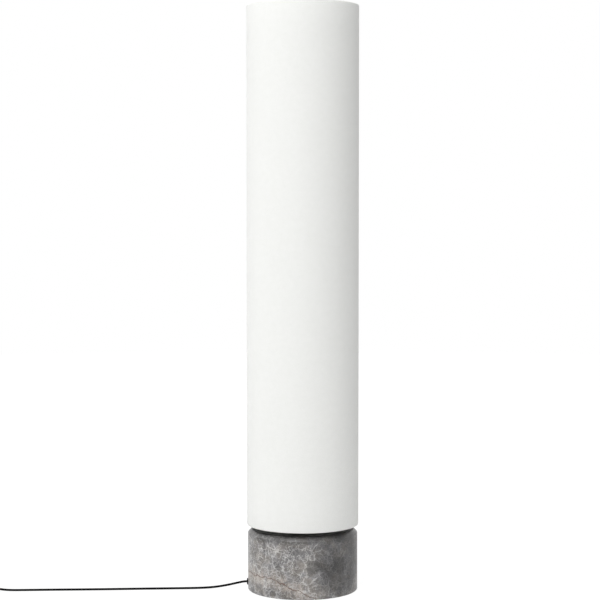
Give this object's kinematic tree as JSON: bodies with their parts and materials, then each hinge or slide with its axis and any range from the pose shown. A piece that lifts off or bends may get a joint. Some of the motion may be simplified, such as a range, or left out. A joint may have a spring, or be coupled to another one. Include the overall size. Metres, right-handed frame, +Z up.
{
  "type": "column floor lamp",
  "caption": "Tall cylindrical canvas shade on a mast above a round marble base block, with screw-in bulbs inside and a black cord with foot switch, coil and plug.",
  "frame": {"origin": "middle of the foot ring's underside, on the floor", "axes": "+Z up along the mast, the cord leaves the block towards -X, the front faces -Y"},
  "size_m": [0.9433, 0.23, 1.2],
  "materials": {
    "marble": "honed grey marble with fine pale veins",
    "canvas": "matt white cotton canvas",
    "liner_white": "white lamp film",
    "white_steel": "satin white powder coat",
    "satin_steel": "satin nickel plated steel",
    "zinc_steel": "zinc plated steel",
    "black_steel": "black powder coat",
    "brass": "bare brass",
    "porcelain": "unglazed porcelain",
    "holder_black": "moulded black resin",
    "bulb_white": "moulded white resin",
    "opal_glass": "opal white",
    "cap_nickel": "nickel plated",
    "soft_black": "matt black rubber",
    "soft_clear": "milky silicone",
    "cord_black": "satin black flexible PVC",
    "switch_black": "satin black",
    "terminal_white": "milky nylon",
    "wire_sleeves": "coloured wire insulation"
  },
  "bodies": {
    "base": {"stone_base": "marble", "foot_ring": "soft_black", "bottom_cover": "black_steel", "cover_screws": "zinc_steel", "cover_inserts": "brass", "base_nipple": "zinc_steel", "mast_washer": "zinc_steel", "mast_nut": "zinc_steel", "mast_collar": "satin_steel", "mast_tube": "satin_steel", "mast_tip": "satin_steel", "centering_spider": "white_steel", "spider_tips": "soft_clear", "spider_lock_ring": "satin_steel", "lock_screws": "zinc_steel", "lower_holder_arm": "satin_steel", "upper_holder_arm": "satin_steel", "lower_holder_cap": "holder_black", "lower_holder_shell": "holder_black", "lower_holder_insert": "porcelain", "lower_holder_sleeve": "brass", "upper_holder_cap": "holder_black", "upper_holder_shell": "holder_black", "upper_holder_insert": "porcelain", "upper_holder_sleeve": "brass", "holder_nipples": "zinc_steel", "holder_nuts": "zinc_steel", "holder_contacts": "brass", "holder_leads": "cord_black", "cord_grommet": "soft_black", "inner_cord": "cord_black", "cord_stop": "terminal_white", "stop_screw": "zinc_steel", "terminal_block": "terminal_white", "base_wires": "wire_sleeves", "mast_wires": "wire_sleeves", "switch_lower_shell": "switch_black", "switch_upper_shell": "switch_black", "switch_screws": "zinc_steel", "power_cord": "cord_black", "cord_coil": "cord_black", "switch_cord": "cord_black", "plug_cord": "cord_black", "plug_body": "cord_black", "plug_pins": "cap_nickel"},
    "shade": {"shade_fabric": "canvas", "shade_liner": "liner_white", "shade_bottom_ring": "white_steel", "shade_top_ring": "white_steel", "shade_spider": "white_steel"},
    "finial": {"finial": "satin_steel"},
    "lower_bulb_tip": {"lower_bulb_contact": "brass"},
    "lower_bulb": {"lower_bulb_cap": "cap_nickel", "lower_bulb_collar": "bulb_white", "lower_bulb_globe": "opal_glass"},
    "upper_bulb_tip": {"upper_bulb_contact": "brass"},
    "upper_bulb": {"upper_bulb_cap": "cap_nickel", "upper_bulb_collar": "bulb_white", "upper_bulb_globe": "opal_glass"},
    "switch_button": {"switch_button": "switch_black"}
  },
  "joints": [
    {"name": "shade_lift", "type": "slide", "parent": "base", "child": "shade", "axis": [0, 0, 1], "range_m": [0, 1.08]},
    {"name": "finial_turn", "type": "hinge", "parent": "shade", "child": "finial", "pos_m": [0, 0, 1.187], "axis": [0, 0, 1], "continuous": true},
    {"name": "lower_bulb_rise", "type": "slide", "parent": "base", "child": "lower_bulb_tip", "axis": [0, 0, 1], "range_m": [0, 0.0109]},
    {"name": "lower_bulb_turn", "type": "hinge", "parent": "lower_bulb_tip", "child": "lower_bulb", "pos_m": [0, 0.046, 0], "axis": [0, 0, 1], "range_deg": [0, 1080]},
    {"name": "upper_bulb_rise", "type": "slide", "parent": "base", "child": "upper_bulb_tip", "axis": [0, 0, 1], "range_m": [0, 0.0109]},
    {"name": "upper_bulb_turn", "type": "hinge", "parent": "upper_bulb_tip", "child": "upper_bulb", "pos_m": [0, -0.046, 0], "axis": [0, 0, 1], "range_deg": [0, 1080]},
    {"name": "switch_press", "type": "slide", "parent": "base", "child": "switch_button", "axis": [0, 0, -1], "range_m": [0, 0.003], "stiffness_N_per_m": 900, "springref_m": -0.0015}
  ],
  "couplings": [
    {"joint": "lower_bulb_rise", "follows": "lower_bulb_turn", "m_per_rad": 0.00057757},
    {"joint": "upper_bulb_rise", "follows": "upper_bulb_turn", "m_per_rad": 0.00057757}
  ]
}
